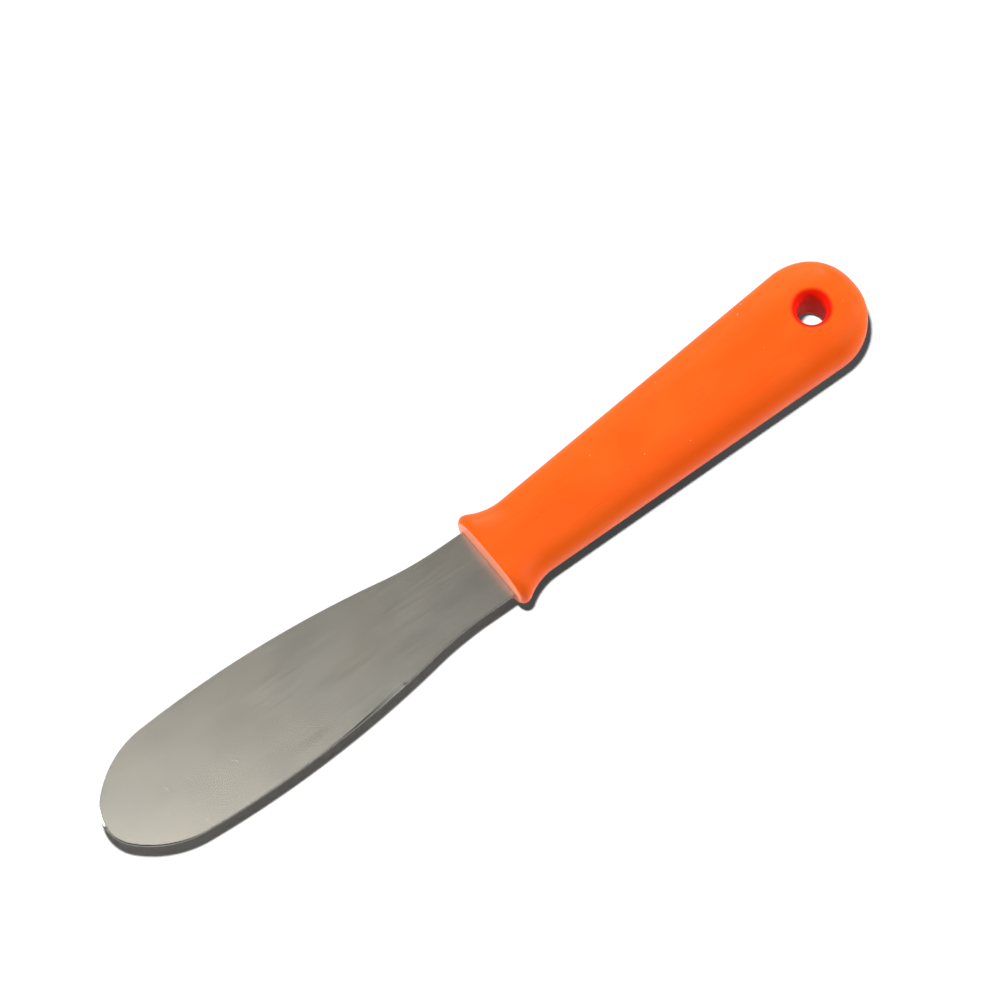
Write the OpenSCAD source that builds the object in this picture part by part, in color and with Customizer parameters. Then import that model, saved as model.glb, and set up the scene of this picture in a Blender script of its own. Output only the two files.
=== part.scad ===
// Flexible putty knife: a leaf-shaped spring steel blade whose tang is moulded into a plastic handle.
// The origin is the centre of the hang hole, halfway through the handle. +X runs along the handle
// towards its butt, +Y across it, and +Z along the hang hole.

/* [Blade] */
// Length of the blade from the handle's mouth to the nose
blade_len = 107; // [88:1:129]
// Greatest width of the leaf
blade_w = 30; // [25:0.5:38]
// Distance from the mouth to the leaf's widest place
widest_from_mouth = 69; // [58:1:76]
// Width of the neck at the mouth
neck_w = 19.4; // [16:0.2:23.4]
// Thickness of the sheet
blade_t = 0.6; // [0.4:0.1:1.2]
// Radius of the leaf's long side curves
side_r = 270; // [220:10:340]
// Radius of the hollow curves between the neck and the leaf
neck_curve_r = 90; // [50:5:110]
// Radius of the two front corners
corner_r = 25; // [20:1:32]
// Radius of the nose
nose_r = 9; // [6:0.5:12]
// Distance of the nose's centre from the blade's centre line
nose_offset = 0.6; // [0:0.1:2]
// Angle between the blade and the handle's centre line, seen from above
blade_lean = 2.8; // [0:0.1:5]

/* [Tang] */
// Depth that the full neck runs into the handle
neck_depth = 4; // [3:0.5:6]
// Length of the tang inside the handle, from the mouth
tang_len = 62; // [50:1:72]
// Width of the tang
tang_w = 10; // [8:0.5:12]
// Number of locking holes in the tang
lock_count = 3; // [2:1:4]
// Diameter of a locking hole
lock_d = 4.5; // [3:0.5:6]
// Distance between neighbouring locking holes
lock_pitch = 16; // [10:1:18]
// Gap left round the tang's edges and in its locking holes
tang_gap = 0.1; // [0.05:0.05:0.3]

/* [Handle] */
// Length of the handle from its mouth to its butt
handle_len = 108.5; // [90:0.5:131]
// Plastic beside the blade's neck, on each side of the mouth
collar_wall = 2.8; // [2.2:0.1:4]
// Width of the waist behind the collar
waist_w = 19.8; // [16.4:0.2:24]
// Distance from the mouth to the waist
waist_from_mouth = 10.5; // [9:0.5:14]
// Width of the round butt
butt_w = 27.2; // [22.6:0.2:33]
// Thickness at the mouth
collar_t = 13; // [11:0.2:15]
// Thickness at the waist
waist_t = 11.6; // [9.6:0.2:14]
// Thickness at the butt
butt_t = 15; // [12.4:0.2:18]
// Radius that rounds the two ends of the collar's edge, seen from above
lip_r = 1.7; // [1:0.1:2.4]
// Radius that breaks the edge between the collar's front face and its top
mouth_edge_r = 0.5; // [0.2:0.1:1.2]
// Length over which the end of the butt rounds off in thickness
butt_round = 6.5; // [5:0.5:8]
// Squareness of the handle's cross-section, where 2 is an ellipse
squareness = 2.7; // [2.2:0.1:3.5]

/* [Hang hole] */
// Diameter of the hole
hang_d = 7; // [5.5:0.1:8.5]
// Distance from the hole's centre to the end of the butt
hang_from_end = 13.2; // [10.4:0.2:16]
// Radius that rounds the hole's two rims
rim_r = 2; // [1:0.1:2.4]

/* [Hidden] */
$fn = 64;
arc_steps = 20;
section_points = 44;
lip_rings = 6;
flare_rings = 7;
taper_rings = 8;
butt_rings = 12;
overcut = 1;

mouth_x = hang_from_end - handle_len;
collar_w = neck_w + 2 * collar_wall;
butt_r = butt_w / 2;
// The last locking hole is one tang width from the tang's end
lock_from_end = tang_w;

function direction(from, to) = atan2(to.y - from.y, to.x - from.x);

function arc(centre, r, from, to) =
    [for (i = [0 : arc_steps])
        let (a = from + (to - from) * i / arc_steps)
        centre + r * [cos(a), sin(a)]];

// Centre of a circle that lies ra from point a and rb from point b, on the side nearer the mouth
function circle_centre(a, ra, b, rb) =
    let (gap = norm(b - a))
    let (along = (ra * ra - rb * rb + gap * gap) / (2 * gap))
    let (across = sqrt(max(0, ra * ra - along * along)))
    let (dir = (b - a) / gap)
    a + dir * along + across * [-dir.y, dir.x];

// The outline has u from the mouth towards the nose and v across. Each side of the leaf is four arcs:
// a hollow neck curve, a long side, a front corner and its share of the nose.
side_centre = [widest_from_mouth, blade_w / 2 - side_r];
neck_curve_v = neck_w / 2 + neck_curve_r;
neck_curve_u = widest_from_mouth
    - sqrt(pow(side_r + neck_curve_r, 2) - pow(neck_curve_v - side_centre.y, 2));
neck_curve_centre = [neck_curve_u, neck_curve_v];
neck_to_side = direction(side_centre, neck_curve_centre);

// One side of the leaf, from the mouth to the tip of a nose whose centre is nose_v off the centre line
function half_leaf(nose_v) =
    let (nose_centre = [blade_len - nose_r, nose_v])
    let (corner_centre = circle_centre(side_centre, side_r - corner_r, nose_centre, corner_r - nose_r))
    let (side_to_corner = direction(side_centre, corner_centre))
    let (corner_to_nose = direction(corner_centre, nose_centre))
    concat(
        [for (p = arc(neck_curve_centre, neck_curve_r, -90, neck_to_side - 180)) if (p.x > 0) p],
        arc(side_centre, side_r, neck_to_side, side_to_corner),
        arc(corner_centre, corner_r, side_to_corner, corner_to_nose),
        arc(nose_centre, nose_r, corner_to_nose, 0));

// One side of the tang and the neck, from the tang's round end out to u = out, with a gap at each edge
function half_tang(gap, out) = concat(
    arc([tang_w / 2 - tang_len, 0], tang_w / 2 + gap, 180, 90),
    [[-neck_depth - gap, tang_w / 2 + gap],
     [-neck_depth - gap, neck_w / 2 + gap],
     [out, neck_w / 2 + gap]]);

// A closed outline from one side and the mirror image of the other, which start at the same point
function joined(left, right) = concat(
    left,
    [for (i = [len(right) - 1 : -1 : 1]) [right[i].x, -right[i].y]]);

// Places things along the blade, with the first axis from the mouth towards the nose
module along_blade() {
    translate([mouth_x, 0, 0]) rotate([0, 0, 180 - blade_lean]) children();
}

module lock_holes_2d(d) {
    for (i = [0 : lock_count - 1])
        translate([-(tang_len - lock_from_end - lock_pitch * i), 0]) circle(d = d);
}

module blade() {
    color([0.56, 0.55, 0.51])
    along_blade() linear_extrude(height = blade_t, center = true) difference() {
        polygon(joined(
            concat(half_tang(0, 0), half_leaf(nose_offset)),
            concat(half_tang(0, 0), half_leaf(-nose_offset))));
        lock_holes_2d(lock_d);
    }
}

// Half the handle's plan width: a round lip, a hollow flare, a straight taper and a round butt
lip_centre = [lip_r, collar_w / 2 - lip_r];
lip_to_waist = [waist_from_mouth, waist_w / 2] - lip_centre;
flare_r = (lip_to_waist * lip_to_waist - lip_r * lip_r) / (2 * (lip_r - lip_to_waist.y));
flare_centre = [waist_from_mouth, waist_w / 2 + flare_r];
butt_centre_x = handle_len - butt_r;
butt_from_waist = butt_centre_x - waist_from_mouth;
taper_angle = atan2(butt_from_waist, flare_centre.y)
    - acos((flare_r + butt_r) / norm([butt_from_waist, flare_centre.y]));
flare_start = lip_centre.x + lip_r * lip_to_waist.x / (flare_r + lip_r);
flare_end = waist_from_mouth + flare_r * sin(taper_angle);
taper_end = butt_centre_x - butt_r * sin(taper_angle);

function circle_rise(r, offset) = sqrt(max(0, r * r - offset * offset));

function half_width(x) =
    x < flare_start ? lip_centre.y + circle_rise(lip_r, x - lip_centre.x) :
    x < flare_end ? flare_centre.y - circle_rise(flare_r, x - flare_centre.x) :
    x < taper_end ? butt_r * cos(taper_angle) - (taper_end - x) * tan(taper_angle) :
    circle_rise(butt_r, x - butt_centre_x);

// Half the handle's thickness: the mouth's edge, a soft swell down to the waist, a straight taper,
// and an elliptical end
function half_thickness(x) =
    let (swell = (x - mouth_edge_r) / (waist_from_mouth - mouth_edge_r))
    let (middle = (collar_t + waist_t) / 2)
    let (change = (collar_t - waist_t) / 2)
    let (taper = min(1, (x - waist_from_mouth) / butt_from_waist))
    let (end = max(0, x - (handle_len - butt_round)) / butt_round)
    x < mouth_edge_r ? collar_t / 2 - mouth_edge_r + circle_rise(mouth_edge_r, x - mouth_edge_r) :
    x < waist_from_mouth ? (middle + change * cos(180 * swell)) / 2 :
    (waist_t + (butt_t - waist_t) * taper) / 2 * circle_rise(1, end);

// Distances of the cross-sections from the mouth; the butt closes in a point after the last
stations = concat(
    [for (i = [0 : lip_rings - 1]) lip_r * (1 - cos(90 * i / lip_rings))],
    [for (i = [0 : flare_rings - 1]) lip_r + (flare_end - lip_r) * i / flare_rings],
    [for (i = [0 : taper_rings - 1]) flare_end + (butt_centre_x - flare_end) * i / taper_rings],
    [for (i = [0 : butt_rings - 1]) butt_centre_x + butt_r * sin(90 * i / butt_rings)]);

function signed_power(v, p) = sign(v) * pow(abs(v), p);

function section(x) =
    [for (i = [0 : section_points - 1])
        let (a = 360 * i / section_points)
        [mouth_x + x,
         half_width(x) * signed_power(cos(a), 2 / squareness),
         half_thickness(x) * signed_power(sin(a), 2 / squareness)]];

module handle_shell() {
    m = section_points;
    rings = len(stations);
    points = concat([for (x = stations) each section(x)], [[mouth_x + handle_len, 0, 0]]);
    front = [[for (i = [0 : m - 1]) i]];
    skirt = [for (k = [0 : rings - 2], i = [0 : m - 1])
        let (a = k * m + i, b = k * m + (i + 1) % m)
        each [[a, a + m, b + m], [a, b + m, b]]];
    last = (rings - 1) * m;
    tip = [for (i = [0 : m - 1]) [last + i, rings * m, last + (i + 1) % m]];
    polyhedron(points, concat(front, skirt, tip), convexity = 4);
}

// The hang hole with both rims rounded over
module hang_hole_cut() {
    cylinder(d = hang_d, h = butt_t + 2 * overcut, center = true);
    for (side = [0, 1])
        mirror([0, 0, side]) rotate_extrude() difference() {
            translate([0, butt_t / 2 - rim_r]) square([hang_d / 2 + rim_r, rim_r + overcut]);
            translate([hang_d / 2 + rim_r, butt_t / 2 - rim_r]) circle(r = rim_r);
        }
}

module handle() {
    color([0.96, 0.43, 0.16])
    difference() {
        handle_shell();
        hang_hole_cut();
        along_blade() linear_extrude(height = blade_t, center = true) difference() {
            polygon(joined(half_tang(tang_gap, overcut), half_tang(tang_gap, overcut)));
            lock_holes_2d(lock_d - 2 * tang_gap);
        }
    }
}

handle();
blade();
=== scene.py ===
import math

import bpy
from mathutils import Matrix, Vector
from mathutils.geometry import delaunay_2d_cdt


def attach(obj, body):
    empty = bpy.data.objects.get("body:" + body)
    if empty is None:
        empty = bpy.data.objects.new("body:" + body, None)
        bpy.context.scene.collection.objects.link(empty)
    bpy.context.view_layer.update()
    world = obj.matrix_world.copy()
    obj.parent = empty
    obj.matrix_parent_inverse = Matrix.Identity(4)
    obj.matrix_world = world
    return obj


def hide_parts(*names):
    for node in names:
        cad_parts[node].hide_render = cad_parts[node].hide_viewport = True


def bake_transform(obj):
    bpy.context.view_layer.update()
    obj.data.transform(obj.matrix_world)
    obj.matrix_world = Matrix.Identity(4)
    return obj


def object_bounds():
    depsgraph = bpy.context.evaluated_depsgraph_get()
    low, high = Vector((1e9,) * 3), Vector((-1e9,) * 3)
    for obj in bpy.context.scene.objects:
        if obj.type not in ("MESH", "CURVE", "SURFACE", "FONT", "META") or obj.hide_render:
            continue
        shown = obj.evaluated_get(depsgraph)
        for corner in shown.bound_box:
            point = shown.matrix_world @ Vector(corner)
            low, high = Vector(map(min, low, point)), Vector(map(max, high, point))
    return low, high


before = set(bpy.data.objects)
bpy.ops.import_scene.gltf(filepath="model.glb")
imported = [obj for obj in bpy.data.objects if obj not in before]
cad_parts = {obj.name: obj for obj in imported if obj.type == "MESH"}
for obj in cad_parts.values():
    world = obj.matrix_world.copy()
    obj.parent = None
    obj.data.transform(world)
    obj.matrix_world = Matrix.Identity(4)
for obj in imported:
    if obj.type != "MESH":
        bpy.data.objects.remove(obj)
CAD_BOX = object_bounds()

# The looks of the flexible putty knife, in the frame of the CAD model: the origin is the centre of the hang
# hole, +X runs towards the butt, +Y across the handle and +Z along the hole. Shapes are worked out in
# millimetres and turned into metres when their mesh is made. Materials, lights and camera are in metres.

MM = 0.001

# Blade, with u from the mouth towards the nose and v across
BLADE_LEN = 107.0
BLADE_W = 30.0
WIDEST_FROM_MOUTH = 69.0
NECK_W = 19.4
BLADE_T = 0.6
SIDE_R = 270.0
NECK_CURVE_R = 90.0
CORNER_R = 25.0
NOSE_R = 9.0
NOSE_OFFSET = 0.6
BLADE_LEAN = math.radians(2.8)
EDGE_BREAK = 0.14        # width of the small bevel all round the blade
HEEL_FROM_MOUTH = 32.3   # where the ground edge starts, with a small step, on the side towards -Y
HEEL_WIDTH = 0.75        # how much wider the bevel is at that step
HEEL_FADE = 24.0         # length over which it narrows again
NOSE_EDGE = 0.16         # how much wider the bevel is round the nose
NOSE_EDGE_U = (85.0, 101.0)   # where it widens along the blade
NOSE_EDGE_V = (-9.0, 3.0)     # and across it
ROW_CLEARANCE = 0.8      # distance of the leaf's inner points from its edge

# Tang
NECK_DEPTH = 4.0
TANG_LEN = 62.0
TANG_W = 10.0
TANG_GAP = 0.1
LOCK_COUNT = 3
LOCK_D = 4.5
LOCK_PITCH = 16.0
LOCK_FROM_END = TANG_W
SLOT_GAP = 0.02          # between the blade's flat sides and the slot's

# Handle, with x from the mouth towards the butt
HANDLE_LEN = 108.5
COLLAR_WALL = 2.8
COLLAR_W = NECK_W + 2 * COLLAR_WALL
WAIST_W = 19.8
WAIST_FROM_MOUTH = 10.5
BUTT_W = 27.2
BUTT_R = BUTT_W / 2
COLLAR_T = 13.0
WAIST_T = 11.6
BUTT_T = 15.0
LIP_R = 1.7              # rounds the collar's two corners, seen from above
MOUTH_EDGE_R = 0.5       # breaks the edge between the front face and the top
BUTT_ROUND = 6.5
SQUARENESS = 2.7

# Hang hole
HANG_R = 3.5
HANG_FROM_END = 13.2
RIM_R = 2.2              # width of the rounded rim
RIM_DROP = 2.6           # depth of the rounded rim
PATCH_MARGIN = 2.4       # from the rim to the border of the rings round the hole

MOUTH_X = HANG_FROM_END - HANDLE_LEN

# How finely the meshes are made
QUADRANT_STEPS = 24      # points round a quarter of the handle's section
RING_GAP = 0.9           # distance between the handle's sections
MOUTH_RINGS = 6
LIP_RINGS = 5
BUTT_RINGS = 26
BLADE_STEP = 1.0         # distance between the blade's outline points and between its rows


# ---- Outline of the blade --------------------------------------------------------------------------------

def arc(centre, radius, start, end, step=BLADE_STEP):
    """Points along a circle's arc between two angles in radians, both ends included."""
    count = max(4, math.ceil(abs(end - start) * radius / step))
    angles = [start + (end - start) * i / count for i in range(count + 1)]
    return [(centre[0] + radius * math.cos(a), centre[1] + radius * math.sin(a)) for a in angles]


def direction(start, end):
    return math.atan2(end[1] - start[1], end[0] - start[0])


def circle_centre(a, ra, b, rb):
    """Centre of a circle that lies ra from point a and rb from point b, on the side nearer the mouth."""
    gap = math.dist(a, b)
    along = (ra * ra - rb * rb + gap * gap) / (2 * gap)
    across = math.sqrt(ra * ra - along * along)
    dx, dy = (b[0] - a[0]) / gap, (b[1] - a[1]) / gap
    return (a[0] + dx * along - dy * across, a[1] + dy * along + dx * across)


def half_leaf(nose_v):
    """One side of the leaf, from the mouth on: a hollow neck curve, a side, a corner and the nose."""
    side_c = (WIDEST_FROM_MOUTH, BLADE_W / 2 - SIDE_R)
    neck_v = NECK_W / 2 + NECK_CURVE_R
    neck_u = WIDEST_FROM_MOUTH - math.sqrt((SIDE_R + NECK_CURVE_R) ** 2 - (neck_v - side_c[1]) ** 2)
    nose_c = (BLADE_LEN - NOSE_R, nose_v)
    corner_c = circle_centre(side_c, SIDE_R - CORNER_R, nose_c, CORNER_R - NOSE_R)
    neck_to_side = direction(side_c, (neck_u, neck_v))
    side_to_corner = direction(side_c, corner_c)
    corner_to_nose = direction(corner_c, nose_c)
    return (
        arc((neck_u, neck_v), NECK_CURVE_R, -math.pi / 2, neck_to_side - math.pi)
        + arc(side_c, SIDE_R, neck_to_side, side_to_corner)[1:]
        + arc(corner_c, CORNER_R, side_to_corner, corner_to_nose)[1:]
        + arc(nose_c, NOSE_R, corner_to_nose, 0.0)[1:]
    )


def half_tang(gap):
    """One side of the tang and of the neck inside the handle, from the tang's round end to the mouth."""
    half = TANG_W / 2 + gap
    return arc((TANG_W / 2 - TANG_LEN, 0.0), half, math.pi, math.pi / 2) + [
        (-NECK_DEPTH - gap, half),
        (-NECK_DEPTH - gap, NECK_W / 2 + gap),
    ]


def mirrored(side):
    """The other side of an outline, from its far end back to the tang, without the point they share."""
    return [(u, -v) for u, v in reversed(side[1:])]


def lock_holes(diameter):
    centres = [-(TANG_LEN - LOCK_FROM_END - LOCK_PITCH * i) for i in range(LOCK_COUNT)]
    return [arc((u, 0.0), diameter / 2, 0.0, 2 * math.pi, 0.5)[:-1] for u in centres]


def on_blade(u, v, z):
    """A place on the blade, in the CAD frame."""
    lean_c, lean_s = math.cos(BLADE_LEAN), math.sin(BLADE_LEAN)
    return (MOUTH_X - u * lean_c - v * lean_s, u * lean_s - v * lean_c, z)


# ---- Mesh tools ------------------------------------------------------------------------------------------

class Shell:
    """Collects the points and faces of one closed mesh."""

    def __init__(self):
        self.points = []
        self.faces = []

    def add(self, points):
        """Adds points and returns their numbers."""
        first = len(self.points)
        self.points.extend(points)
        return list(range(first, first + len(points)))

    def strip(self, a, b, closed=True):
        """Quads between two rows of point numbers of the same length."""
        n = len(a)
        for i in range(n if closed else n - 1):
            j = (i + 1) % n
            self.faces.append((a[i], a[j], b[j], b[i]))

    def fill(self, loops, flat, inner=(), flip=False):
        """Triangles between the first loop of point numbers and the others, which are holes in it. flat gives
        a point's two flat coordinates, and inner holds further point numbers inside."""
        numbers = [i for loop in loops for i in loop] + list(inner)
        edges, start = [], 0
        for loop in loops:
            edges += [(start + i, start + (i + 1) % len(loop)) for i in range(len(loop))]
            start += len(loop)
        flat_points = [Vector(flat(self.points[i])) for i in numbers]
        outline = [flat_points[i] for i in range(len(loops[0]))]
        holes, start = [], len(loops[0])
        for loop in loops[1:]:
            holes.append(flat_points[start : start + len(loop)])
            start += len(loop)
        _, _, triangles, original, _, _ = delaunay_2d_cdt(flat_points, edges, [], 0, 1e-7)
        for t in triangles:
            corners = [original[i][0] for i in t]
            middle = sum((flat_points[i] for i in corners), Vector((0, 0))) / 3
            if not inside(middle, outline) or any(inside(middle, h) for h in holes):
                continue
            found = tuple(numbers[i] for i in corners)
            self.faces.append(found[::-1] if flip else found)

    def made(self, name, material, sharp_angle):
        """The mesh as an object, in metres, with smooth shading up to sharp_angle."""
        used = sorted({i for face in self.faces for i in face})
        renumbered = {old: new for new, old in enumerate(used)}
        self.points = [self.points[i] for i in used]
        self.faces = [tuple(renumbered[i] for i in face) for face in self.faces]
        mesh = bpy.data.meshes.new(name)
        mesh.from_pydata([tuple(MM * c for c in p) for p in self.points], [], self.faces)
        mesh.validate()
        for polygon in mesh.polygons:
            polygon.use_smooth = True
        mesh.set_sharp_from_angle(angle=sharp_angle)
        mesh.materials.append(material)
        piece = bpy.data.objects.new(name, mesh)
        bpy.context.scene.collection.objects.link(piece)
        return piece


def inside(p, loop):
    """Whether a flat point lies inside a closed loop of flat points."""
    found = False
    for i, a in enumerate(loop):
        b = loop[i - 1]
        if (a.y > p.y) != (b.y > p.y) and p.x < (b.x - a.x) * (p.y - a.y) / (b.y - a.y) + a.x:
            found = not found
    return found


def eased(value, start, end):
    """Rises smoothly from 0 at start to 1 at end."""
    share = min(1.0, max(0.0, (value - start) / (end - start)))
    return share * share * (3 - 2 * share)


def inset(loop, width_at):
    """A closed loop moved inwards, by width_at(u, v) at each point. The loop runs clockwise, so its inside
    is on the right."""
    moved = []
    for i, (u, v) in enumerate(loop):
        (u0, v0), (u1, v1) = loop[i - 1], loop[(i + 1) % len(loop)]
        a, b = Vector((u - u0, v - v0)).normalized(), Vector((u1 - u, v1 - v)).normalized()
        normal = (Vector((a.y, -a.x)) + Vector((b.y, -b.x))).normalized()
        reach = width_at(u, v) / max(0.5, normal.dot(Vector((a.y, -a.x))))
        moved.append((u + normal.x * reach, v + normal.y * reach))
    return moved


# ---- Blade -----------------------------------------------------------------------------------------------

def blade_mesh(material):
    near = half_tang(0.0) + half_leaf(NOSE_OFFSET)
    far = half_tang(0.0) + half_leaf(-NOSE_OFFSET)
    outline = near + mirrored(far)
    face = inset(outline, bevel_width)
    flat_z = BLADE_T / 2
    edge_z = BLADE_T / 2 - EDGE_BREAK
    shell = Shell()
    top = shell.add([(u, v, flat_z) for u, v in face])
    upper = shell.add([(u, v, edge_z) for u, v in outline])
    lower = shell.add([(u, v, -edge_z) for u, v in outline])
    bottom = shell.add([(u, v, -flat_z) for u, v in face])
    shell.strip(top, upper)
    shell.strip(upper, lower)
    shell.strip(lower, bottom)
    hole_tops, hole_bottoms = [], []
    for hole in lock_holes(LOCK_D):
        hole_tops.append(shell.add([(u, v, flat_z) for u, v in hole]))
        hole_bottoms.append(shell.add([(u, v, -flat_z) for u, v in hole]))
        shell.strip(hole_tops[-1], hole_bottoms[-1])
    rows = inner_rows(face)
    top_rows = shell.add([(u, v, flat_z) for u, v in rows])
    bottom_rows = shell.add([(u, v, -flat_z) for u, v in rows])
    shell.fill([top] + hole_tops, lambda p: p[:2], top_rows)
    shell.fill([bottom] + hole_bottoms, lambda p: p[:2], bottom_rows, flip=True)
    flat = [(p[0], p[1]) for p in shell.points]
    shell.points = [on_blade(*p) for p in shell.points]
    piece = shell.made("steel_blade", material, math.radians(5))
    uv = piece.data.uv_layers.new(name="flat")
    for loop in piece.data.loops:
        u, v = flat[loop.vertex_index]
        uv.data[loop.index].uv = (u * MM, v * MM)
    return piece


def bevel_width(u, v):
    """Width of the bevel where the outline passes u, v. It is wider from the heel on and round the nose."""
    width = EDGE_BREAK
    if v > 0 and u > HEEL_FROM_MOUTH:
        width += HEEL_WIDTH * (1 - eased(u, HEEL_FROM_MOUTH, HEEL_FROM_MOUTH + HEEL_FADE))
    if u > 0:
        width += NOSE_EDGE * eased(u, *NOSE_EDGE_U) * eased(v, *NOSE_EDGE_V)
    return width


def inner_rows(loop):
    """Points in rows across the leaf, kept clear of its edge."""
    border = [Vector(p) for p in inset(loop, lambda u, v: ROW_CLEARANCE)]
    half = int(BLADE_W / 2 / BLADE_STEP / 2)
    found = []
    for i in range(int(BLADE_LEN / BLADE_STEP)):
        for j in range(-half, half + 1):
            p = Vector(((i + 0.5) * BLADE_STEP, j * 2 * BLADE_STEP))
            if inside(p, border):
                found.append(tuple(p))
    return found


# ---- Handle ----------------------------------------------------------------------------------------------

LIP_C = (LIP_R, COLLAR_W / 2 - LIP_R)
LIP_TO_WAIST = (WAIST_FROM_MOUTH - LIP_C[0], WAIST_W / 2 - LIP_C[1])
FLARE_R = (LIP_TO_WAIST[0] ** 2 + LIP_TO_WAIST[1] ** 2 - LIP_R**2) / (2 * (LIP_R - LIP_TO_WAIST[1]))
FLARE_CY = WAIST_W / 2 + FLARE_R
BUTT_CX = HANDLE_LEN - BUTT_R
BUTT_FROM_WAIST = BUTT_CX - WAIST_FROM_MOUTH
TAPER = math.atan2(BUTT_FROM_WAIST, FLARE_CY) - math.acos(
    (FLARE_R + BUTT_R) / math.hypot(BUTT_FROM_WAIST, FLARE_CY)
)
FLARE_START = LIP_C[0] + LIP_R * LIP_TO_WAIST[0] / (FLARE_R + LIP_R)
FLARE_END = WAIST_FROM_MOUTH + FLARE_R * math.sin(TAPER)
TAPER_END = BUTT_CX - BUTT_R * math.sin(TAPER)


def rise(radius, offset):
    return math.sqrt(max(0.0, radius * radius - offset * offset))


def half_width(x):
    if x < FLARE_START:
        return LIP_C[1] + rise(LIP_R, x - LIP_C[0])
    if x < FLARE_END:
        return FLARE_CY - rise(FLARE_R, x - WAIST_FROM_MOUTH)
    if x < TAPER_END:
        return BUTT_R * math.cos(TAPER) - (TAPER_END - x) * math.tan(TAPER)
    return rise(BUTT_R, x - BUTT_CX)


def half_thickness(x):
    if x < MOUTH_EDGE_R:
        return COLLAR_T / 2 - MOUTH_EDGE_R + rise(MOUTH_EDGE_R, x - MOUTH_EDGE_R)
    if x < WAIST_FROM_MOUTH:
        swell = math.cos(math.pi * (x - MOUTH_EDGE_R) / (WAIST_FROM_MOUTH - MOUTH_EDGE_R))
        return (COLLAR_T + WAIST_T) / 4 + (COLLAR_T - WAIST_T) / 4 * swell
    taper = min(1.0, (x - WAIST_FROM_MOUTH) / BUTT_FROM_WAIST)
    end = max(0.0, x - (HANDLE_LEN - BUTT_ROUND)) / BUTT_ROUND
    return (WAIST_T + (BUTT_T - WAIST_T) * taper) / 2 * rise(1.0, end)


def surface_z(x, y):
    """Height of the handle's upper surface above its middle plane, in the CAD frame."""
    across = min(1.0, abs(y) / half_width(x - MOUTH_X))
    return half_thickness(x - MOUTH_X) * (1 - across**SQUARENESS) ** (1 / SQUARENESS)


def section_angles():
    """Angles round a section, closer together where it curves most."""
    crowd = SQUARENESS / 2
    quarter = []
    for i in range(QUADRANT_STEPS):
        s = i / QUADRANT_STEPS
        quarter.append(math.pi / 2 * s**crowd / (s**crowd + (1 - s) ** crowd))
    return [q + k * math.pi / 2 for k in range(4) for q in quarter]


def stations():
    """Distances of the handle's sections from the mouth. The butt closes in a point after the last."""
    edge = [MOUTH_EDGE_R * (1 - math.cos(math.pi / 2 * i / MOUTH_RINGS)) for i in range(MOUTH_RINGS)]
    lip = [MOUTH_EDGE_R + (LIP_R - MOUTH_EDGE_R) * i / LIP_RINGS for i in range(LIP_RINGS)]
    count = round((BUTT_CX - LIP_R) / RING_GAP)
    body = [LIP_R + (BUTT_CX - LIP_R) * i / count for i in range(count)]
    butt = [BUTT_CX + BUTT_R * math.sin(math.pi / 2 * i / BUTT_RINGS) for i in range(BUTT_RINGS)]
    return edge + lip + body + butt


def section(x, angles):
    power = 2 / SQUARENESS
    w, h = half_width(x), half_thickness(x)
    found = []
    for a in angles:
        c, s = math.cos(a), math.sin(a)
        y = math.copysign(abs(c) ** power, c) if abs(c) > 1e-9 else 0.0
        z = math.copysign(abs(s) ** power, s) if abs(s) > 1e-9 else 0.0
        found.append((MOUTH_X + x, w * y, h * z))
    return found


def handle_mesh(material):
    shell = Shell()
    angles = section_angles()
    rings = [shell.add(section(x, angles)) for x in stations()]
    tip = shell.add([(MOUTH_X + HANDLE_LEN, 0.0, 0.0)])[0]
    n = len(angles)
    # The patch round the hang hole takes the place of these sections and section points
    reach = HANG_R + RIM_R + PATCH_MARGIN
    rows = [i for i, ring in enumerate(rings) if abs(shell.points[ring[0]][0]) < reach]
    row_a, row_b = rows[0], rows[-1]
    middle = shell.points[rings[(row_a + row_b) // 2][0]][0] - MOUTH_X
    columns = [
        j for j in range(n // 2 + 1)
        if half_width(middle) * abs(math.cos(angles[j])) ** (2 / SQUARENESS) < reach
    ]
    col_a, col_b = columns[0], columns[-1]
    for i in range(len(rings) - 1):
        for j in range(n):
            k = (j + 1) % n
            above = col_a <= j < col_b
            below = n - col_b <= j < n - col_a
            if row_a <= i < row_b and (above or below):
                continue
            shell.faces.append((rings[i][j], rings[i][k], rings[i + 1][k], rings[i + 1][j]))
    for j in range(n):
        shell.faces.append((rings[-1][j], rings[-1][(j + 1) % n], tip))
    border = (
        [(i, col_a) for i in range(row_a, row_b)]
        + [(row_b, j) for j in range(col_a, col_b)]
        + [(i, col_b) for i in range(row_b, row_a, -1)]
        + [(row_a, j) for j in range(col_b, col_a, -1)]
    )
    top = [rings[i][j] for i, j in border]
    bottom = [rings[i][n - j] for i, j in border]
    bore_top = hole_patch(shell, top, 1)
    bore_bottom = hole_patch(shell, bottom, -1)
    shell.strip(bore_bottom, bore_top)
    mouth(shell, rings[0])
    return shell.made("plastic_handle", material, math.radians(40))


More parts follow.
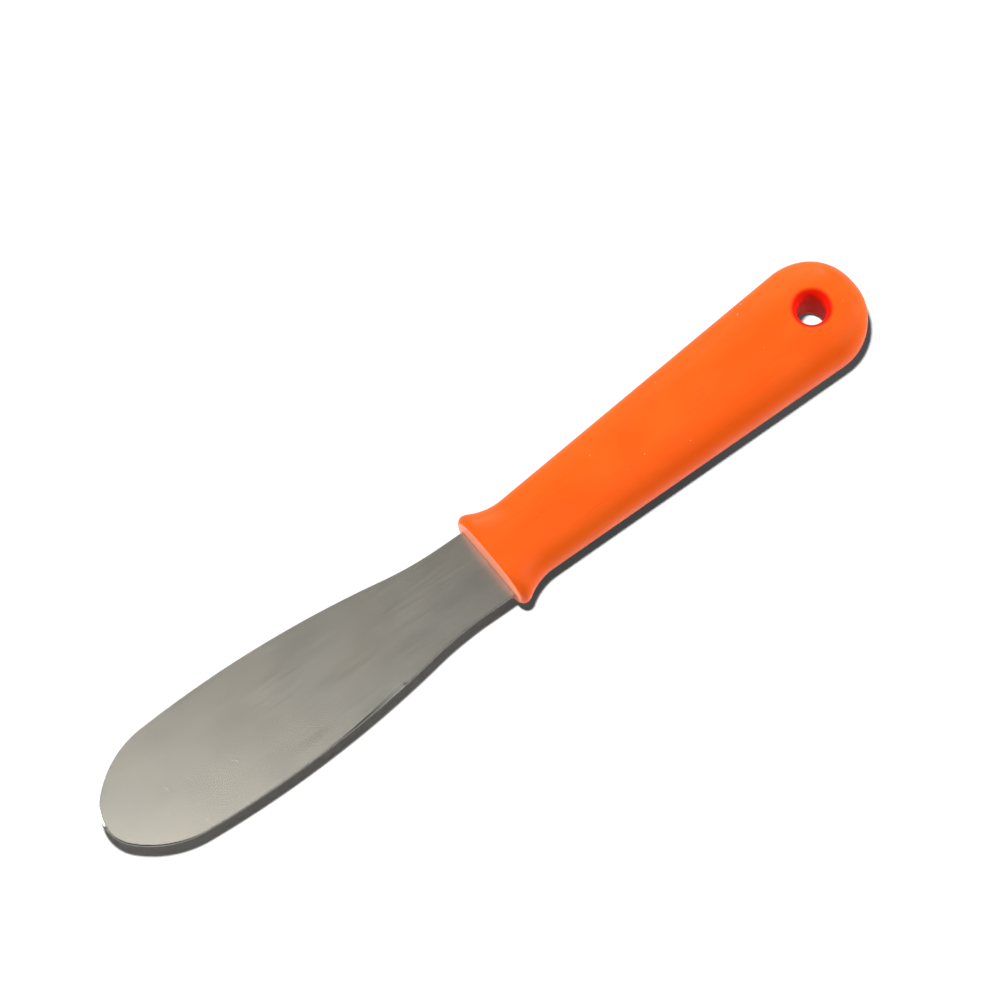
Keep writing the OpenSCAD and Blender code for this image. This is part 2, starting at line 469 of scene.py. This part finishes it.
def hole_patch(shell, border, side):
    """Rings from the border of the patch in to the hang hole's rounded rim. Returns the bore's own ring."""
    patch_rings, rim_rings = 5, 14
    outer = HANG_R + RIM_R
    places = [shell.points[i] for i in border]
    turns = [math.atan2(p[1], p[0]) for p in places]
    last = border
    for k in range(patch_rings - 1, -1, -1):
        share = k / patch_rings
        ring = []
        for (px, py, _), a in zip(places, turns):
            x = px * share + outer * math.cos(a) * (1 - share)
            y = py * share + outer * math.sin(a) * (1 - share)
            ring.append((x, y, side * surface_z(x, y)))
        last = joined_ring(shell, last, ring, side)
    for k in range(1, rim_rings + 1):
        roll = math.pi / 2 * k / rim_rings
        r = HANG_R + RIM_R * (1 - math.sin(roll))
        drop = RIM_DROP * (1 - math.cos(roll))
        ring = []
        for a in turns:
            x, y = r * math.cos(a), r * math.sin(a)
            ring.append((x, y, side * (surface_z(x, y) - drop)))
        last = joined_ring(shell, last, ring, side)
    return last


def joined_ring(shell, last, ring, side):
    numbers = shell.add(ring)
    if side > 0:
        shell.strip(numbers, last)
    else:
        shell.strip(last, numbers)
    return numbers


def mouth(shell, front_ring):
    """The flat front face with the slot in it, and the cavity that holds the neck and the tang."""
    gap_z = BLADE_T / 2 + SLOT_GAP
    side = half_tang(TANG_GAP)
    spread = (NECK_W / 2 + TANG_GAP) / math.cos(BLADE_LEAN)
    outline = [on_blade(u, v, 0.0)[:2] for u, v in side] + [(MOUTH_X, -spread), (MOUTH_X, spread)]
    outline += [on_blade(u, v, 0.0)[:2] for u, v in mirrored(side)]
    roof = shell.add([(x, y, gap_z) for x, y in outline])
    floor = shell.add([(x, y, -gap_z) for x, y in outline])
    mouth_at = len(side)
    n = len(outline)
    for i in range(n):
        if i != mouth_at:
            j = (i + 1) % n
            shell.faces.append((roof[j], roof[i], floor[i], floor[j]))
    peg_roofs, peg_floors = [], []
    for hole in lock_holes(LOCK_D - 2 * TANG_GAP):
        places = [on_blade(u, v, 0.0)[:2] for u, v in hole]
        peg_roofs.append(shell.add([(x, y, gap_z) for x, y in places]))
        peg_floors.append(shell.add([(x, y, -gap_z) for x, y in places]))
        shell.strip(peg_floors[-1], peg_roofs[-1])
    shell.fill([roof] + peg_roofs, lambda p: p[:2], flip=True)
    shell.fill([floor] + peg_floors, lambda p: p[:2])
    slot = [roof[mouth_at], roof[mouth_at + 1], floor[mouth_at + 1], floor[mouth_at]]
    shell.fill([front_ring, slot], lambda p: (p[1], p[2]), flip=True)


# ---- Materials -------------------------------------------------------------------------------------------

class Nodes:
    """A short way to write a material's nodes."""

    def __init__(self, name):
        self.material = bpy.data.materials.new(name)
        self.material.use_nodes = True
        self.tree = self.material.node_tree
        self.tree.nodes.clear()
        self.shader = self.node("ShaderNodeBsdfPrincipled")
        output = self.node("ShaderNodeOutputMaterial")
        self.link(self.shader.outputs["BSDF"], output.inputs["Surface"])

    def node(self, kind, **settings):
        made = self.tree.nodes.new(kind)
        for key, value in settings.items():
            setattr(made, key, value)
        return made

    def link(self, source, target):
        self.tree.links.new(source, target)

    def put(self, target, value):
        if hasattr(value, "is_linked"):
            self.link(value, target)
        else:
            target.default_value = value

    def math(self, operation, a, b=0.0):
        made = self.node("ShaderNodeMath", operation=operation)
        self.put(made.inputs[0], a)
        self.put(made.inputs[1], b)
        return made.outputs[0]

    def placed(self, kind, scale, turn=0.0):
        """Coordinates in metres, turned about Z and then scaled along each axis."""
        source = self.node("ShaderNodeTexCoord").outputs[kind]
        turned = self.node("ShaderNodeVectorRotate", rotation_type="Z_AXIS")
        self.link(source, turned.inputs["Vector"])
        turned.inputs["Angle"].default_value = turn
        scaled = self.node("ShaderNodeVectorMath", operation="MULTIPLY")
        self.link(turned.outputs[0], scaled.inputs[0])
        scaled.inputs[1].default_value = scale
        return scaled.outputs[0]

    def noise(self, place, detail=3.0, roughness=0.5):
        made = self.node("ShaderNodeTexNoise")
        self.link(place, made.inputs["Vector"])
        made.inputs["Scale"].default_value = 1.0
        made.inputs["Detail"].default_value = detail
        made.inputs["Roughness"].default_value = roughness
        return made.outputs["Fac"]

    def between(self, value, low, high, out_low=0.0, out_high=1.0):
        """Maps a value from low..high to out_low..out_high, smoothly and without passing either end."""
        made = self.node("ShaderNodeMapRange", interpolation_type="SMOOTHSTEP")
        self.put(made.inputs["Value"], value)
        for key, number in zip(("From Min", "From Max", "To Min", "To Max"), (low, high, out_low, out_high)):
            made.inputs[key].default_value = number
        return made.outputs[0]

    def mixed(self, share, a, b):
        """A colour between a and b."""
        made = self.node("ShaderNodeMix", data_type="RGBA")
        self.put(made.inputs["Factor"], share)
        self.put(made.inputs["A"], a)
        self.put(made.inputs["B"], b)
        return made.outputs["Result"]

    def bump(self, height, strength, distance, below=None):
        made = self.node("ShaderNodeBump")
        self.link(height, made.inputs["Height"])
        made.inputs["Strength"].default_value = strength
        made.inputs["Distance"].default_value = distance
        if below is not None:
            self.link(below, made.inputs["Normal"])
        return made.outputs["Normal"]


def plastic():
    """Smooth moulded orange plastic: cloudy colour with specks, a painted deep red in the bore for its shade
    and the red light bouncing inside it, a painted pale front face for the light that the blade reflects onto
    it, a fine moulded grain and light handling wear."""
    m = Nodes("orange_plastic")
    body = (1.0, 0.112, 0.003, 1.0)
    pale = (1.0, 0.130, 0.006, 1.0)
    deep = (0.97, 0.094, 0.002, 1.0)
    clouds = m.noise(m.placed("Object", (60, 110, 90)), 4.0)
    colour = m.mixed(m.between(clouds, 0.35, 0.7), body, pale)
    streaks = m.noise(m.placed("Object", (45, 900, 500)), 3.0)
    colour = m.mixed(m.between(streaks, 0.55, 0.85, 0.0, 0.5), colour, deep)
    # Painted shade: the hang hole's bore is painted a deep red for its shade and the red light bouncing
    # inside it. The same mask also lowers the bore's specular.
    from_axis = m.node("ShaderNodeVectorMath", operation="LENGTH")
    m.link(m.placed("Object", (1.0, 1.0, 0.0)), from_axis.inputs[0])
    painted_bore_shade = m.between(from_axis.outputs["Value"], 0.0042, 0.0054, 1.0, 0.0)
    colour = m.mixed(painted_bore_shade, colour, (1.0, 0.012, 0.003, 1.0))
    # Painted reflection: the flat front face round the slot is painted a pale salmon for the light that the
    # blade reflects onto it.
    split = m.node("ShaderNodeSeparateXYZ")
    m.link(m.node("ShaderNodeTexCoord").outputs["Object"], split.inputs[0])
    front_x = MOUTH_X * MM
    painted_front_reflection = m.between(split.outputs["X"], front_x + 0.00003, front_x + 0.00020, 0.9, 0.0)
    colour = m.mixed(painted_front_reflection, colour, (1.0, 0.36, 0.22, 1.0))
    dark_specks = m.noise(m.placed("Object", (1500, 1500, 1500)), 1.0)
    colour = m.mixed(m.between(dark_specks, 0.80, 0.84, 0.0, 0.8), colour, (0.12, 0.03, 0.015, 1.0))
    light_specks = m.noise(m.placed("Object", (900, 1400, 1200), 0.6), 1.0)
    colour = m.mixed(m.between(light_specks, 0.79, 0.83, 0.0, 0.7), colour, (0.95, 0.55, 0.33, 1.0))
    m.link(colour, m.shader.inputs["Base Color"])
    handled = m.noise(m.placed("Object", (90, 160, 120)), 5.0, 0.6)
    m.link(m.between(handled, 0.3, 0.72, 0.40, 0.56), m.shader.inputs["Roughness"])
    shine = m.math("SUBTRACT", 0.15, m.math("MULTIPLY", painted_bore_shade, 0.14))
    m.link(shine, m.shader.inputs["Specular IOR Level"])
    grain = m.bump(m.noise(m.placed("Object", (2600, 2600, 2600)), 2.0), 0.10, 0.00004)
    waves = m.bump(m.noise(m.placed("Object", (140, 260, 260)), 2.0), 0.18, 0.0003, grain)
    scuffs = m.noise(m.placed("Object", (150, 4200, 900), 0.35), 2.0)
    worn = m.bump(m.between(scuffs, 0.70, 0.80), 0.12, 0.00005, waves)
    m.link(worn, m.shader.inputs["Normal"])
    return m.material


def steel():
    """Satin spring steel: a fine grain along the blade, cloudy polish, and short scratches on the leaf."""
    m = Nodes("satin_steel")
    body = (0.432, 0.416, 0.371, 1.0)
    warm = (0.458, 0.434, 0.376, 1.0)
    clouds = m.noise(m.placed("UV", (45, 70, 1)), 4.0)
    colour = m.mixed(m.between(clouds, 0.3, 0.7), body, warm)
    place = m.node("ShaderNodeTexCoord").outputs["UV"]
    parts = m.node("ShaderNodeSeparateXYZ")
    m.link(place, parts.inputs[0])
    leaf = m.between(parts.outputs["X"], 0.055, 0.085)
    scratches = m.noise(m.placed("UV", (260, 5200, 1), 1.05), 1.0)
    patches = m.noise(m.placed("UV", (95, 130, 1)), 2.0)
    found = m.math("MULTIPLY", m.between(scratches, 0.74, 0.80), m.between(patches, 0.5, 0.62))
    found = m.math("MULTIPLY", found, leaf)
    colour = m.mixed(m.math("MULTIPLY", found, 0.55), colour, (0.86, 0.85, 0.83, 1.0))
    specks = m.noise(m.placed("UV", (1500, 1500, 1)), 1.0)
    colour = m.mixed(m.between(specks, 0.82, 0.86, 0.0, 0.7), colour, (0.10, 0.095, 0.085, 1.0))
    m.link(colour, m.shader.inputs["Base Color"])
    m.shader.inputs["Metallic"].default_value = 1.0
    grain = m.noise(m.placed("UV", (60, 1400, 1)), 2.0, 0.6)
    polish = m.noise(m.placed("UV", (70, 120, 1)), 3.0)
    cloudy = m.between(polish, 0.3, 0.7, 0.23, 0.25)
    rough = m.math("ADD", cloudy, m.between(grain, 0.3, 0.7, -0.008, 0.012))
    rough = m.math("ADD", rough, m.math("MULTIPLY", found, 0.2))
    m.link(rough, m.shader.inputs["Roughness"])
    brushed = m.bump(grain, 0.02, 0.000002)
    waves = m.bump(m.noise(m.placed("UV", (30, 45, 1)), 1.0), 0.015, 0.0003, brushed)
    m.link(waves, m.shader.inputs["Normal"])
    return m.material


def paper():
    """The plain floor."""
    m = Nodes("floor")
    m.shader.inputs["Base Color"].default_value = (0.92, 0.92, 0.92, 1.0)
    m.shader.inputs["Roughness"].default_value = 0.9
    m.shader.inputs["Specular IOR Level"].default_value = 0.1
    return m.material


# ---- Stage, lights and camera ----------------------------------------------------------------------------

# The photographer's directions on the floor
AZIMUTH = math.radians(38.75)
ELEVATION = math.radians(71)
RIGHT = Vector((math.cos(AZIMUTH), -math.sin(AZIMUTH), 0))
AWAY = Vector((math.sin(AZIMUTH), math.cos(AZIMUTH), 0))
UP = Vector((0, 0, 1))
AIM = Vector((-83.8, 10.4, 0)) * MM
DISTANCE = 1500 * MM
SEEN_WIDTH = 229.3 * MM      # width of the picture at the aim


def add_floor():
    size = 3.0
    z = CAD_BOX[0].z
    mesh = bpy.data.meshes.new("floor")
    corners = [(-size, -size, z), (size, -size, z), (size, size, z), (-size, size, z)]
    mesh.from_pydata(corners, [], [(0, 1, 2, 3)])
    mesh.materials.append(paper())
    floor = bpy.data.objects.new("floor", mesh)
    bpy.context.scene.collection.objects.link(floor)
    return floor


def add_softbox(name, lit, toward, distance, width, height, power, colour=(1, 1, 1)):
    """A soft area light in the direction toward, which faces the knife and lights the objects in lit."""
    data = bpy.data.lights.new(name, "AREA")
    data.shape = "RECTANGLE"
    data.size = width
    data.size_y = height
    data.energy = power
    data.color = colour
    light = bpy.data.objects.new(name, data)
    toward = toward.normalized()
    light.location = AIM + toward * distance
    light.rotation_mode = "QUATERNION"
    light.rotation_quaternion = toward.to_track_quat("Z", "Y")
    bpy.context.scene.collection.objects.link(light)
    group = bpy.data.collections.new(name)
    for piece in lit:
        group.objects.link(piece)
    light.light_linking.receiver_collection = group


def add_lights(floor, pieces):
    """The floor has its own light, nearly overhead, for the narrow shadow that lies along the knife."""
    world = bpy.data.worlds.new("studio")
    bpy.context.scene.world = world
    world.use_nodes = True
    background = world.node_tree.nodes["Background"]
    background.inputs["Color"].default_value = (0.98, 0.99, 1.0, 1.0)
    background.inputs["Strength"].default_value = 0.08
    add_softbox("table", [floor], UP - RIGHT * 0.09 - AWAY * 0.02, 1.3, 0.10, 0.10, 20.2)
    add_softbox("top", pieces, UP - RIGHT * 0.05, 1.3, 0.22, 0.22, 2.5)
    add_softbox("left", pieces, UP * 0.5 - RIGHT, 1.3, 0.6, 0.4, 12.2)
    add_softbox("right", pieces, UP * 0.6 + RIGHT * 0.9 + AWAY * 0.2, 1.3, 0.5, 0.5, 11.0)
    add_softbox("back", pieces, UP * 0.5 + AWAY, 1.3, 0.6, 0.4, 9.0)
    warm = (1.0, 0.98, 0.93)
    add_softbox("sheen", pieces, UP * 0.95 - RIGHT * 0.14 + AWAY * 0.12, 1.2, 0.1, 0.1, 0.24, warm)
    add_softbox("front", pieces, UP * 0.25 - RIGHT - AWAY * 0.75, 0.9, 0.4, 0.15, 1.0)
    add_softbox("fill", pieces, UP * 0.95 + AWAY * 0.3 - RIGHT * 0.015, 1.2, 0.3, 0.3, 0.05)


def add_camera():
    data = bpy.data.cameras.new("camera")
    data.sensor_width = 36.0
    data.lens = data.sensor_width * DISTANCE / SEEN_WIDTH
    data.clip_start = 0.1
    data.clip_end = 20.0
    camera = bpy.data.objects.new("camera", data)
    back = -AWAY * math.cos(ELEVATION) + UP * math.sin(ELEVATION)
    top = AWAY * math.sin(ELEVATION) + UP * math.cos(ELEVATION)
    turn = Matrix((RIGHT, top, back)).transposed().to_4x4()
    camera.matrix_world = Matrix.Translation(AIM + back * DISTANCE) @ turn
    bpy.context.scene.collection.objects.link(camera)
    bpy.context.scene.camera = camera


# ---- The scene -------------------------------------------------------------------------------------------

def place(u):
    """A point on the blade's centre line, in metres."""
    return [c * MM for c in on_blade(u, 0.0, 0.0)]


bpy.context.scene.view_settings.view_transform = "Standard"
add_camera()

handle = handle_mesh(plastic())
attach(handle, "handle")
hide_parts("handle")

blade = blade_mesh(steel())
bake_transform(blade)
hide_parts("blade")

add_lights(add_floor(), [handle, blade])
# The floor's shadow stays a neutral grey, without an orange glow from the handle
handle.visible_diffuse = False
